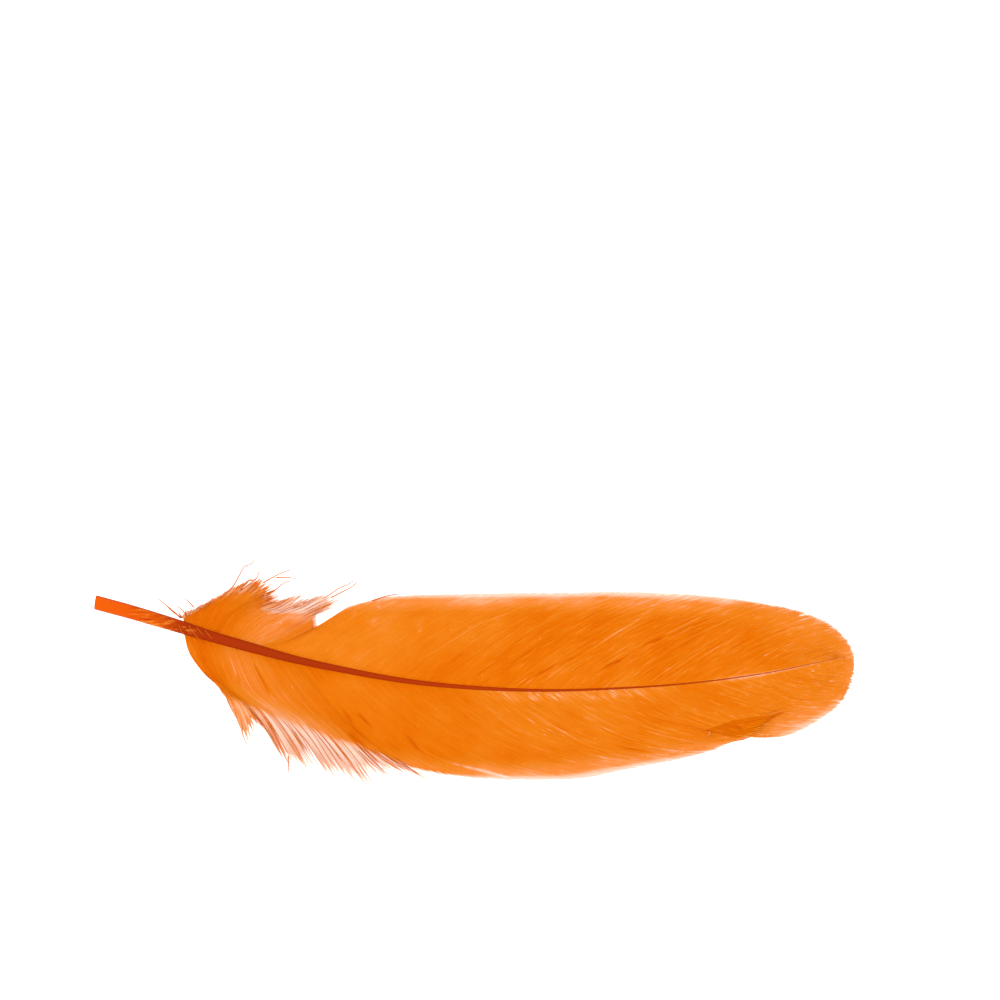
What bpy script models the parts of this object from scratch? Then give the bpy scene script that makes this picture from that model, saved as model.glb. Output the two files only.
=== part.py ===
"""A dyed goose feather for a hat band, lying with its outer side up.

The underside is drawn first, as one sheet: a strip for the quill and shaft, with locks of
barbs that run from its two edges to the rim. The sheet is then given its thickness, and the
strip its round upper and lower side. Neighbouring locks are joined edge to edge as far as
the real barbs hook together. The origin is under the middle of the feather, on the surface
that it lies on. Places and sizes are in millimetres up to the last step.
"""

import math

import bmesh
import bpy
from mathutils import Matrix, Vector
from mathutils.geometry import interpolate_bezier

MM = 0.001

# Shaft, from the cut quill to the tip
SHAFT = (
    # along, across, height of the middle line, radius
    (-89.3, 17.3, 1.72, 1.70),
    (-81.5, 15.2, 1.95, 1.72),
    (-74.0, 13.0, 2.25, 1.72),
    (-68.4, 11.2, 2.60, 1.62),
    (-64.6, 9.9, 2.90, 1.40),
    (-53.3, 6.8, 3.80, 1.22),
    (-42.0, 3.8, 4.70, 1.00),
    (-30.7, 1.4, 5.40, 0.82),
    (-16.6, -1.1, 6.00, 0.70),
    (0.4, -2.8, 6.20, 0.60),
    (17.3, -3.4, 5.90, 0.54),
    (34.2, -2.9, 5.20, 0.50),
    (51.2, -1.6, 4.10, 0.48),
    (68.1, 0.6, 2.70, 0.46),
    (85.5, 4.1, 0.90, 0.44),
)
QUILL_RINGS = 9
# How far ahead the shaft is read to find its direction
SHAFT_STEP = 0.5
# Half of the tube's points, from one edge over the top to the other
TUBE_ANGLES_DEG = (18, 54, 90, 126, 162)

# Vane
VANE_THICKNESS = 0.6
LOCK_RIDGE = 0.3
RIDGE_TO_WIDTH = 0.1
LOCK_ROWS = 8
RIM_START = 0.78
BEND_SHARE = 0.36
SMOOTH_BELOW_DEG = 40

# Each guide is one barb: where it grows from along the shaft, the angle at which it leaves,
# where its tip is, the angle at which it arrives, and how high its tip is over the rim.
UPPER_DOWN = (
    (-68.6, 92, -68.2, 14.8, 80, 1.8),
    (-67.0, 74, -61.4, 18.6, 50, 1.6),
    (-65.4, 64, -56.4, 21.8, 44, 1.4),
    (-63.8, 60, -51.8, 28.3, 62, 1.2),
    (-62.2, 55, -49.4, 24.6, 48, 1.0),
    (-60.4, 48, -43.0, 25.1, 22, 0.9),
    (-58.6, 46, -43.6, 21.0, 24, 0.8),
    (-56.6, 44, -40.8, 19.3, 20, 0.6),
    (-54.4, 38, -28.0, 22.6, 30, 0.4),
    (-51.0, 32, -31.6, 16.6, 26, 0.3),
)
UPPER_VANE = (
    (-51.0, 32, -30.2, 15.7, 30, 0.0),
    (-41.1, 38, -15.2, 18.9, 18, 0.0),
    (-29.3, 38, 3.6, 19.5, 16, 0.0),
    (-17.5, 38, 20.1, 19.7, 15, 0.0),
    (-5.8, 38, 35.4, 19.9, 15, 0.0),
    (6.0, 37, 48.4, 19.5, 15, 0.0),
    (17.8, 36, 59.4, 18.5, 15, 0.0),
    (29.5, 35, 68.4, 17.1, 15, 0.0),
    (41.3, 35, 76.6, 15.4, 16, 0.0),
    (53.1, 33, 83.6, 12.6, 16, 0.0),
    (64.8, 30, 87.9, 8.8, 12, 0.0),
    (75.2, 26, 89.5, 5.8, 4, 0.0),
    (85.5, 12, 89.7, 3.8, 0, 0.0),
)
LOWER_DOWN = (
    (-68.6, -80, -61.0, -2.6, -50, 0.9),
    (-67.4, -74, -53.2, -17.0, -72, 0.8),
    (-66.0, -72, -49.0, -13.4, -45, 0.8),
    (-64.4, -70, -43.8, -22.4, -50, 0.7),
    (-62.5, -66, -41.6, -22.0, -50, 0.6),
    (-60.0, -64, -36.6, -24.1, -58, 0.6),
    (-57.4, -62, -33.4, -24.4, -60, 0.5),
    (-54.4, -60, -29.6, -25.6, -60, 0.5),
    (-51.0, -58, -24.0, -27.9, -60, 0.4),
)
LOWER_VANE = (
    (-51.0, -58, -23.6, -26.6, -50, 0.3),
    (-46.0, -57, -18.2, -24.8, -42, 0.2),
    (-41.8, -56, -9.0, -25.4, -34, 0.2),
    (-36.0, -51, 1.5, -24.6, -18, 0.0),
    (-31.0, -46, 10.7, -24.8, -12, 0.0),
    (-22.2, -42, 24.8, -24.4, -8, 0.0),
    (-10.5, -40, 35.4, -22.4, -4, 0.0),
    (1.3, -38, 46.0, -20.3, 0, 0.0),
    (13.1, -36, 55.9, -17.8, 4, 0.3),
    (22.5, -34, 63.6, -14.8, 10, 0.8),
    (30.0, -32, 74.0, -8.5, 24, 1.3),
)
END_LOBE = (
    (30.0, -32, 63.6, -14.4, -10, 0.0),
    (34.0, -30, 71.6, -14.5, 4, 0.0),
    (40.4, -29, 77.0, -12.9, 6, 0.0),
    (48.4, -28, 81.8, -10.3, 4, 0.0),
    (57.8, -27, 85.5, -7.5, 2, 0.0),
    (67.2, -25, 88.4, -3.9, 0, 0.0),
    (76.6, -20, 89.5, 0.0, -4, 0.0),
    (85.5, -4, 89.7, 3.0, 0, 0.0),
)

# Locks of each stretch of the shaft, from the quill to the tip
DOWN_LOCKS = 12
MIDDLE_LOCKS = 16
END_LOCKS = 10
# guides, locks, rows joined to the neighbour, rows joined to the next stretch, tip's width
UPPER_SIDE = (
    (UPPER_DOWN, DOWN_LOCKS, 4, 6, 0.25),
    (UPPER_VANE, MIDDLE_LOCKS + END_LOCKS, 7, 7, 0.72),
)
LOWER_SIDE = (
    (LOWER_DOWN, DOWN_LOCKS, 6, 6, 0.25),
    (LOWER_VANE, MIDDLE_LOCKS, 7, 5, 0.72),
    (END_LOBE, END_LOCKS, 7, 7, 0.72),
)


def read_smooth(rows, place):
    """Reads a smooth line through rows that start with their place along the feather."""
    inner = [k for k in range(1, len(rows) - 1) if rows[k][0] <= place]
    low = max(inner, default=0)
    before = rows[max(low - 1, 0)]
    start = rows[low]
    end = rows[low + 1]
    after = rows[min(low + 2, len(rows) - 1)]
    step = end[0] - start[0]
    t = (place - start[0]) / step
    values = []
    for a, b, c, d in zip(before[1:], start[1:], end[1:], after[1:]):
        slope_start = (c - a) / (end[0] - before[0]) * step
        slope_end = (d - b) / (after[0] - start[0]) * step
        values.append(
            b * (2 * t**3 - 3 * t**2 + 1)
            + slope_start * (t**3 - 2 * t**2 + t)
            + c * (3 * t**2 - 2 * t**3)
            + slope_end * (t**3 - t**2)
        )
    return values


def read_straight(rows, place):
    """Reads rows that start with their place along the feather, straight between two rows."""
    low = max(k for k in range(len(rows) - 1) if k == 0 or rows[k][0] <= place)
    t = (place - rows[low][0]) / (rows[low + 1][0] - rows[low][0])
    return [a + (b - a) * t for a, b in zip(rows[low][1:], rows[low + 1][1:])]


def stations():
    """Places along the shaft: the quill's rings, then each lock's edge and middle in turn."""
    first = SHAFT[0][0]
    down = UPPER_DOWN[0][0]
    vane = UPPER_VANE[0][0]
    lobe = END_LOBE[0][0]
    last = SHAFT[-1][0]
    quill = [first + (down - first) * k / QUILL_RINGS for k in range(QUILL_RINGS)]
    feathered = []
    for start, end, locks in (
        (down, vane, DOWN_LOCKS),
        (vane, lobe, MIDDLE_LOCKS),
        (lobe, last, END_LOCKS),
    ):
        feathered += [start + (end - start) * k / (2 * locks) for k in range(2 * locks)]
    return quill, feathered + [last]


def shaft_frame(along):
    """The shaft's middle at a place, the direction across it, and its radius."""
    across, height, radius = read_smooth(SHAFT, along)
    turn_aside = read_smooth(SHAFT, along + SHAFT_STEP)[0] - across
    return Vector((along, across, height)), Vector((-turn_aside, SHAFT_STEP, 0)).normalized(), radius


def half_thickness(along, radius):
    """Half of the tube's height at its edge: the vane's, or that of a round quill."""
    round_edge = radius * math.sin(math.radians(TUBE_ANGLES_DEG[0]))
    return round_edge if along < UPPER_DOWN[0][0] else VANE_THICKNESS / 2


def make_tube_strip(shape, thickness, places):
    """The sheet's middle strip: at each place, one point for each of the tube's angles."""
    grid = []
    for along in places:
        middle, across, radius = shaft_frame(along)
        row = []
        for angle in TUBE_ANGLES_DEG:
            turn = math.radians(angle)
            depth = radius * math.sin(turn)
            if angle in (TUBE_ANGLES_DEG[0], TUBE_ANGLES_DEG[-1]):
                depth = half_thickness(along, radius)
            point = middle + across * (radius * math.cos(turn)) - Vector((0, 0, depth))
            row.append(shape.verts.new(point))
            row[-1][thickness] = 2 * depth
        grid.append(row)
    for row, following in zip(grid, grid[1:]):
        for k in range(len(TUBE_ANGLES_DEG) - 1):
            shape.faces.new((row[k], following[k], following[k + 1], row[k + 1]))
    return grid


def barb(guides, along, start):
    """The points of one barb on the underside of the vane, from the shaft to its tip."""
    leave, tip_x, tip_y, arrive, lift = read_straight(guides, along)
    foot = Vector((start.x, start.y, 0))
    end = Vector((tip_x, tip_y, 0))
    reach = (end - foot).length * BEND_SHARE
    out = Matrix.Rotation(math.radians(leave), 3, "Z") @ Vector((reach, 0, 0))
    home = Matrix.Rotation(math.radians(arrive), 3, "Z") @ Vector((reach, 0, 0))
    points = interpolate_bezier(foot, foot + out, end - home, end, LOCK_ROWS + 1)
    for row, point in enumerate(points):
        share = row / LOCK_ROWS
        fall = max(1 - (share / RIM_START) ** 2, 0) ** 1.5
        point.z = start.z * fall + lift * share**2
    return points


def make_lock(shape, middle, borders, shared, joined, tip_width):
    """One lock: a ridge down its middle, and two edges that draw in past the joined rows."""
    ridge = [middle[0]]
    for row in range(1, LOCK_ROWS + 1):
        width = (borders[1][row] - borders[0][row]).length
        height = min(LOCK_RIDGE, RIDGE_TO_WIDTH * width)
        rise = height * max(1 - row / LOCK_ROWS / RIM_START, 0)
        ridge.append(shape.verts.new(middle[1][row] + Vector((0, 0, rise))))
    for side in (0, 1):
        edge = shared[side]
        for row in range(1, LOCK_ROWS + 1):
            if row > joined[side]:
                past = (row - joined[side]) / (LOCK_ROWS - joined[side])
                spread = 1 + (tip_width - 1) * past
                point = middle[1][row].lerp(borders[side][row], spread)
                edge = edge[:row] + [shape.verts.new(point)]
            elif len(edge) <= row:
                edge.append(shape.verts.new(borders[side][row]))
        for row in range(LOCK_ROWS):
            shape.faces.new((ridge[row], ridge[row + 1], edge[row + 1], edge[row]))


def make_side(shape, zones, places, roots):
    """All locks of one side. Returns the points of the last lock's outer edge."""
    shared = [roots[0]]
    first = 0
    for guides, locks, joined, seam, tip_width in zones:
        for lock in range(locks):
            k = first + 2 * lock
            lines = [barb(guides, places[k + n], roots[k + n].co) for n in (0, 1, 2)]
            following = [roots[k + 2]]
            before = joined if lock else seam_before(zones, first, joined)
            after = joined if lock < locks - 1 else seam
            make_lock(
                shape,
                (roots[k + 1], lines[1]),
                (lines[0], lines[2]),
                (shared, following),
                (before, after),
                tip_width,
            )
            shared = following
        first += 2 * locks
    return shared


def seam_before(zones, first, joined):
    """The rows joined at the seam with the stretch that ends at this point."""
    passed = 0
    for _, locks, _, seam, _ in zones:
        passed += 2 * locks
        if passed == first:
            return seam
    return joined


def make_underside(shape, thickness):
    quill, feathered = stations()
    grid = make_tube_strip(shape, thickness, quill + feathered)
    vane_rows = grid[len(quill) :]
    upper_end = make_side(shape, UPPER_SIDE, feathered, [row[0] for row in vane_rows])
    lower_end = make_side(shape, LOWER_SIDE, feathered, [row[-1] for row in vane_rows])
    shape.faces.new(grid[-1][:1] + [upper_end[1], lower_end[1]] + grid[-1][:0:-1])
    for row in range(1, len(upper_end) - 1):
        shape.faces.new((upper_end[row], upper_end[row + 1], lower_end[row + 1], lower_end[row]))
    for point in shape.verts:
        if point[thickness] == 0:
            point[thickness] = VANE_THICKNESS


def make_feather():
    shape = bmesh.new()
    thickness = shape.verts.layers.float.new("thickness")
    make_underside(shape, thickness)
    grown = bmesh.ops.extrude_face_region(shape, geom=shape.faces[:])
    for point in grown["geom"]:
        if isinstance(point, bmesh.types.BMVert):
            point.co.z += point[thickness]
    bmesh.ops.recalc_face_normals(shape, faces=shape.faces)
    bmesh.ops.scale(shape, vec=(MM, MM, MM), verts=shape.verts)
    mesh = bpy.data.meshes.new("feather")
    shape.to_mesh(mesh)
    shape.free()
    mesh.shade_smooth()
    mesh.set_sharp_from_angle(angle=math.radians(SMOOTH_BELOW_DEG))
    feather = bpy.data.objects.new("feather", mesh)
    bpy.context.scene.collection.objects.link(feather)
    return feather


def make_material():
    material = bpy.data.materials.new("dyed_feather")
    material.use_nodes = True
    shader = material.node_tree.nodes["Principled BSDF"]
    shader.inputs["Base Color"].default_value = (0.86, 0.2, 0.004, 1.0)
    shader.inputs["Roughness"].default_value = 0.6
    shader.inputs["Metallic"].default_value = 0.0
    return material


def main():
    for old in list(bpy.data.objects):
        bpy.data.objects.remove(old, do_unlink=True)
    make_feather().data.materials.append(make_material())


main()
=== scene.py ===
import math

import bmesh
import bpy
import numpy as np
from mathutils import Matrix, Vector


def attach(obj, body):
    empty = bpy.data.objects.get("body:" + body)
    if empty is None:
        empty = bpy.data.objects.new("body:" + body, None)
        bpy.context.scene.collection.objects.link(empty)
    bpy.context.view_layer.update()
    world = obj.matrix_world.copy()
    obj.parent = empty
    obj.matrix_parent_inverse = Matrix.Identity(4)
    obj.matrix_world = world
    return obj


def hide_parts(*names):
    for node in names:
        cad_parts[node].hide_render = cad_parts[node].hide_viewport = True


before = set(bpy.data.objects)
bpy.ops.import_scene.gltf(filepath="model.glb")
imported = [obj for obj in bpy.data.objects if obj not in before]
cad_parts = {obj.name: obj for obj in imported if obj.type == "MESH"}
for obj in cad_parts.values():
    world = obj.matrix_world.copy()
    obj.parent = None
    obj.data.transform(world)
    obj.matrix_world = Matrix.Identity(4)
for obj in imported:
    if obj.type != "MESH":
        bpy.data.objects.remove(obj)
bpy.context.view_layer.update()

# The dyed hat feather. Its own measures are in millimetres, and each finished piece is
# brought to metres. +X runs from the cut quill to the tip, and +Z is up.
MM = 0.001
# Points closer than this, in metres, are one point. Lengths get this much added before a
# division, so that none is 0
SAME_POINT = 1e-8
TINY = 1e-9
SEED = 4
BODY = "root"
NODE = "feather"

# Camera: where the photograph's middle falls on the feather, how wide a strip it shows, and how
# far the camera sees, in metres
VIEW_MIDDLE = (6.0, 41.4)
VIEW_WIDTH = 235.3
LENS = 200.0
SENSOR = 36.0
FEATHER_HEIGHT = 3.0
FAR_END = 10.0
# Stage and lights, in metres and watts. Each lamp: its name, place, breadth and power
FLOOR_HALF = 2.0
FLOOR_UNDER = 0.05 * MM
FLOOR_GREY = 0.7
FLOOR_GLOW = 1.0
FLOOR_ROUGHNESS = 0.9
WORLD_STRENGTH = 1.0
LAMPS = (
    ("key", (-0.5, 0.2, 0.95), 0.7, 6.0),
    ("fill", (0.7, -0.4, 0.8), 0.9, 4.0),
)

# Shaft, from the cut quill to the tip
SHAFT = (
    # along, across, height of the middle line, half width
    (-89.3, 17.3, 1.72, 1.70),
    (-81.5, 15.2, 1.95, 1.68),
    (-74.0, 13.0, 2.25, 1.62),
    (-68.4, 11.3, 2.60, 1.50),
    (-64.6, 10.1, 2.90, 1.34),
    (-53.3, 6.9, 3.80, 1.16),
    (-42.0, 3.9, 4.75, 0.92),
    (-30.7, 1.5, 5.48, 0.74),
    (-16.6, -1.0, 6.10, 0.60),
    (0.4, -2.7, 6.30, 0.46),
    (17.3, -3.3, 6.02, 0.33),
    (34.2, -2.8, 5.34, 0.25),
    (51.2, -1.6, 4.24, 0.18),
    (68.1, 0.6, 2.82, 0.13),
    (85.5, 4.1, 1.00, 0.06),
)
# Where along the shaft it begins, the vanes and the lower vane's end lobe begin, and it ends
SHAFT_START = SHAFT[0][0]
UPPER_START = -51.0
LOWER_START = -41.8
LOBE_START = 30.0
SHAFT_END = 85.5
# Where along the feather the lower vane's two lobes part
PARTING = 55.3
# The corners of the place where both lobes lie over each other, where the colour is painted darker as
# painted shade of the double layer
LAPPED = ((54.0, -12.8), (62.3, -14.9), (73.3, -8.5), (60.7, -10.5))

# Downy barbs. Each row is the middle barb of one tuft: where it grows from along the shaft,
# three points along it (the last is its tip), how high the tip stands over the table, the
# share of its length that is hooked to its neighbours, and how pale it is there and past it.
UPPER_DOWN = (
    (-68.6, -68.4, 13.8, -68.4, 14.3, -68.1, 15.0, 1.9, 0.50, 0.30, 0.70),
    (-68.1, -67.4, 14.3, -66.7, 15.2, -65.8, 16.3, 1.9, 0.50, 0.30, 0.65),
    (-67.4, -66.2, 14.5, -65.1, 15.7, -63.6, 17.2, 1.8, 0.55, 0.29, 0.60),
    (-66.5, -64.8, 15.0, -62.9, 16.6, -61.1, 18.8, 1.7, 0.72, 0.34, 0.54),
    (-65.5, -63.2, 15.2, -59.9, 18.1, -56.4, 21.5, 1.6, 0.67, 0.34, 0.59),
    (-64.4, -61.5, 15.0, -56.6, 19.0, -51.4, 23.6, 1.5, 0.64, 0.34, 0.59),
    (-62.9, -59.6, 14.8, -54.5, 18.5, -48.6, 23.4, 1.3, 0.66, 0.35, 0.56),
    (-61.5, -57.8, 14.5, -52.4, 17.8, -46.4, 21.0, 1.2, 0.67, 0.31, 0.50),
    (-60.1, -56.1, 14.5, -51.4, 17.0, -46.0, 19.2, 1.1, 0.72, 0.33, 0.50),
    (-58.9, -54.5, 14.3, -50.0, 16.2, -45.0, 17.9, 1.0, 0.60, 0.35, 0.55),
    (-57.8, -52.4, 14.1, -46.2, 16.2, -40.9, 19.8, 0.9, 0.48, 0.45, 0.75),
    (-56.6, -50.0, 13.8, -43.4, 15.9, -38.2, 18.6, 0.8, 0.48, 0.51, 0.93),
    (-55.4, -47.4, 13.4, -40.6, 15.9, -33.3, 20.2, 0.7, 0.50, 0.55, 0.98),
    (-54.5, -44.8, 12.8, -38.2, 15.5, -31.8, 18.9, 0.6, 0.56, 0.57, 0.98),
    (-53.5, -42.7, 11.9, -37.2, 14.8, -31.9, 17.0, 0.5, 0.66, 0.57, 0.98),
    (-52.9, -42.6, 11.2, -38.0, 14.1, -33.6, 15.8, 0.4, 0.76, 0.55, 0.93),
    (-52.7, -43.2, 10.5, -40.1, 12.6, -37.2, 14.7, 0.2, 0.95, 0.55, 0.60),
    (-52.2, -43.1, 10.0, -39.9, 12.0, -37.2, 14.0, 0.2, 0.96, 0.48, 0.60),
    (-51.6, -42.9, 9.2, -39.6, 11.0, -37.2, 12.9, 0.1, 0.97, 0.44, 0.50),
    (-51.1, -42.5, 8.4, -39.4, 10.1, -37.1, 11.8, 0.0, 0.98, 0.42, 0.50),
)
LOWER_DOWN = (
    (-68.5, -66.9, 5.1, -64.1, 1.0, -61.5, -1.8, 1.0, 0.80, 0.34, 0.50),
    (-68.1, -66.0, 4.6, -62.0, -0.8, -58.0, -4.8, 1.0, 0.80, 0.32, 0.55),
    (-67.5, -64.4, 2.8, -57.1, -5.5, -53.3, -17.0, 1.0, 0.55, 0.31, 0.60),
    (-66.7, -62.7, 1.6, -54.5, -6.7, -50.0, -12.1, 0.9, 0.66, 0.30, 0.60),
    (-65.5, -61.1, 0.6, -53.3, -7.3, -46.2, -16.8, 0.9, 0.56, 0.30, 0.62),
    (-64.1, -59.6, -0.3, -51.4, -8.2, -43.8, -22.4, 0.8, 0.50, 0.31, 0.68),
    (-62.5, -58.2, -1.0, -49.6, -8.9, -41.8, -21.9, 0.8, 0.52, 0.37, 0.76),
    (-60.6, -56.3, -2.0, -47.4, -9.4, -37.3, -24.1, 0.7, 0.52, 0.46, 0.84),
    (-58.5, -54.0, -2.8, -44.9, -10.2, -35.9, -23.6, 0.7, 0.54, 0.52, 0.90),
    (-56.1, -50.8, -3.6, -42.2, -11.0, -31.4, -25.7, 0.6, 0.55, 0.52, 0.92),
    (-53.8, -47.8, -4.2, -39.0, -12.2, -29.3, -25.2, 0.6, 0.56, 0.50, 0.94),
    (-51.6, -45.0, -4.8, -36.0, -13.4, -25.3, -26.9, 0.5, 0.57, 0.47, 0.94),
    (-49.8, -42.6, -5.2, -33.2, -14.3, -23.2, -27.2, 0.5, 0.59, 0.44, 0.94),
    (-47.9, -40.4, -5.4, -30.6, -15.2, -21.3, -25.2, 0.4, 0.62, 0.38, 0.92),
    (-46.0, -38.0, -5.7, -27.8, -16.1, -18.9, -24.5, 0.4, 0.66, 0.37, 0.90),
    (-43.9, -35.6, -6.0, -24.6, -16.9, -13.8, -24.1, 0.3, 0.72, 0.36, 0.88),
    (-41.8, -33.7, -6.2, -21.5, -17.3, -10.5, -24.9, 0.3, 0.76, 0.35, 0.84),
)

# Hooked barbs. Each row is one barb: where it grows from, the angle at which it leaves, where
# its tip is, the angle at which it arrives, how high its tip is, its hooked share, and how
# pale it is inside and at the rim.
UPPER_VANE = (
    (-51.0, 10, -29.3, 16.5, 33, 0.0, 1.0, 0.40, 0.65),
    (-48.6, 18, -24.0, 17.9, 22, 0.0, 1.0, 0.42, 0.71),
    (-44.4, 28, -18.0, 18.9, 18, 0.0, 1.0, 0.43, 0.77),
    (-38.0, 36, -7.8, 19.3, 17, 0.0, 1.0, 0.43, 0.79),
    (-29.3, 38, 3.6, 19.5, 16, 0.0, 1.0, 0.40, 1.02),
    (-17.5, 38, 20.1, 19.7, 15, 0.0, 1.0, 0.35, 0.94),
    (-5.8, 38, 35.4, 19.9, 15, 0.0, 1.0, 0.31, 0.90),
    (6.0, 37, 48.4, 19.5, 15, 0.0, 1.0, 0.30, 0.90),
    (17.8, 36, 59.4, 18.5, 15, 0.0, 1.0, 0.30, 0.81),
    (29.5, 35, 68.4, 17.1, 15, 0.0, 1.0, 0.31, 0.60),
    (41.3, 35, 76.6, 15.4, 16, 0.0, 1.0, 0.32, 0.62),
    (53.1, 33, 83.4, 12.6, 16, 0.0, 1.0, 0.35, 0.66),
    (64.8, 30, 87.7, 8.8, 12, 0.0, 1.0, 0.38, 0.63),
    (75.2, 26, 89.4, 5.8, 4, 0.0, 1.0, 0.41, 0.63),
    (85.5, 2, 89.6, 3.55, -1, 0.0, 1.0, 0.46, 0.58),
)
LOWER_VANE = (
    (-41.8, -56, -10.5, -25.2, -31, 0.2, 0.78, 0.33, 0.80),
    (-38.0, -52, -3.0, -24.8, -21, 0.1, 0.86, 0.32, 0.76),
    (-31.0, -46, 10.7, -24.8, -12, 0.0, 0.95, 0.32, 0.94),
    (-22.2, -42, 24.8, -24.4, -8, 0.0, 1.0, 0.33, 0.88),
    (-10.5, -40, 35.4, -22.4, -4, 0.0, 1.0, 0.34, 0.84),
    (1.3, -38, 46.0, -20.3, 0, 0.0, 1.0, 0.35, 0.84),
    (13.1, -36, 55.9, -17.8, 4, 0.3, 1.0, 0.36, 0.80),
    (22.5, -34, 63.6, -15.2, 6, 0.7, 1.0, 0.37, 0.54),
    (30.0, -32, 74.0, -16.2, -10, 0.8, 1.0, 0.34, 0.40),
)
END_LOBE = (
    (30.0, -32, 63.6, -14.4, -10, 0.0, 1.0, 0.34, 0.78),
    (34.0, -30, 71.6, -14.5, 4, 0.0, 1.0, 0.35, 0.82),
    (40.4, -29, 77.0, -12.9, 6, 0.0, 1.0, 0.36, 0.84),
    (48.4, -28, 81.8, -10.3, 4, 0.0, 1.0, 0.38, 0.84),
    (57.8, -27, 85.5, -7.5, 2, 0.0, 1.0, 0.40, 0.76),
    (67.2, -25, 88.2, -3.9, 0, 0.0, 1.0, 0.42, 0.58),
    (76.6, -20, 89.4, 0.0, -4, 0.0, 1.0, 0.44, 0.58),
    (85.5, 2, 89.6, 3.5, 1, 0.0, 1.0, 0.46, 0.58),
)

# Single loose barbs, by points along each one, with the height of their tips
WISPS = (
    (1.4, (-58.0, 19.7), (-56.5, 21.7), (-54.9, 24.6), (-54.2, 25.7), (-52.6, 26.4), (-51.4, 27.6)),
    (1.4, (-54.0, 21.8), (-52.8, 22.5), (-51.7, 22.6), (-51.1, 23.5), (-50.6, 25.0)),
    (1.2, (-50.0, 21.8), (-48.1, 22.9), (-45.5, 24.2), (-43.2, 25.0)),
    (1.2, (-46.9, 23.1), (-44.8, 23.2), (-42.0, 22.9)),
    (1.0, (-50.0, 19.2), (-48.1, 19.6), (-46.7, 20.4), (-45.3, 21.6), (-44.1, 22.2), (-42.9, 22.3)),
    (0.8, (-46.7, 14.8), (-43.9, 16.4), (-42.0, 18.2), (-40.8, 19.4)),
    (0.7, (-40.6, 16.9), (-38.7, 17.8), (-36.8, 18.8)),
    (0.6, (-38.7, 17.4), (-35.6, 18.2), (-34.0, 19.2), (-31.6, 20.8), (-29.8, 21.5), (-28.1, 22.8)),
    (0.6, (-34.0, 18.3), (-32.4, 19.1), (-30.5, 20.1), (-29.3, 20.7), (-27.4, 22.3)),
    (2.0, (-66.2, 16.2), (-67.4, 17.5), (-68.3, 18.2)),
    (2.0, (-68.8, 13.6), (-69.8, 15.0)),
    (2.0, (-69.1, 13.8), (-70.1, 14.3)),
    (2.0, (-68.1, 14.5), (-67.9, 15.8)),
    (2.1, (-69.0, 13.4), (-70.5, 14.8), (-72.6, 16.6), (-74.7, 18.3)),
    (2.1, (-68.9, 13.6), (-71.2, 15.2), (-73.4, 17.4)),
    (2.1, (-67.6, 13.9), (-69.4, 16.0), (-70.2, 16.6)),
    (0.3, (-24.4, 17.6), (-20.6, 18.8), (-17.5, 19.3)),
    (0.9, (-57.3, -5.5), (-56.1, -7.6), (-55.4, -9.7), (-54.9, -13.0), (-54.2, -15.1), (-53.2, -17.0)),
    (0.9, (-55.6, -6.4), (-55.2, -7.6), (-54.8, -9.9), (-54.7, -12.5), (-54.5, -14.4)),
    (0.7, (-43.9, -18.9), (-43.8, -22.9)),
)
# Pale barbs that grow from the shaft's top and cross it, by points and heights
CROSSING = (
    ((-69.6, 12.2, 4.2), (-68.9, 10.6, 4.4), (-67.7, 8.9, 3.2)),
    ((-67.2, 12.0, 4.1), (-66.0, 10.2, 4.5), (-64.6, 8.5, 3.4)),
    ((-65.3, 11.6, 4.1), (-64.6, 10.6, 4.5), (-63.6, 9.6, 4.4)),
    ((-63.4, 10.9, 4.1), (-62.2, 9.4, 4.5), (-60.9, 7.9, 3.3)),
)
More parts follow.
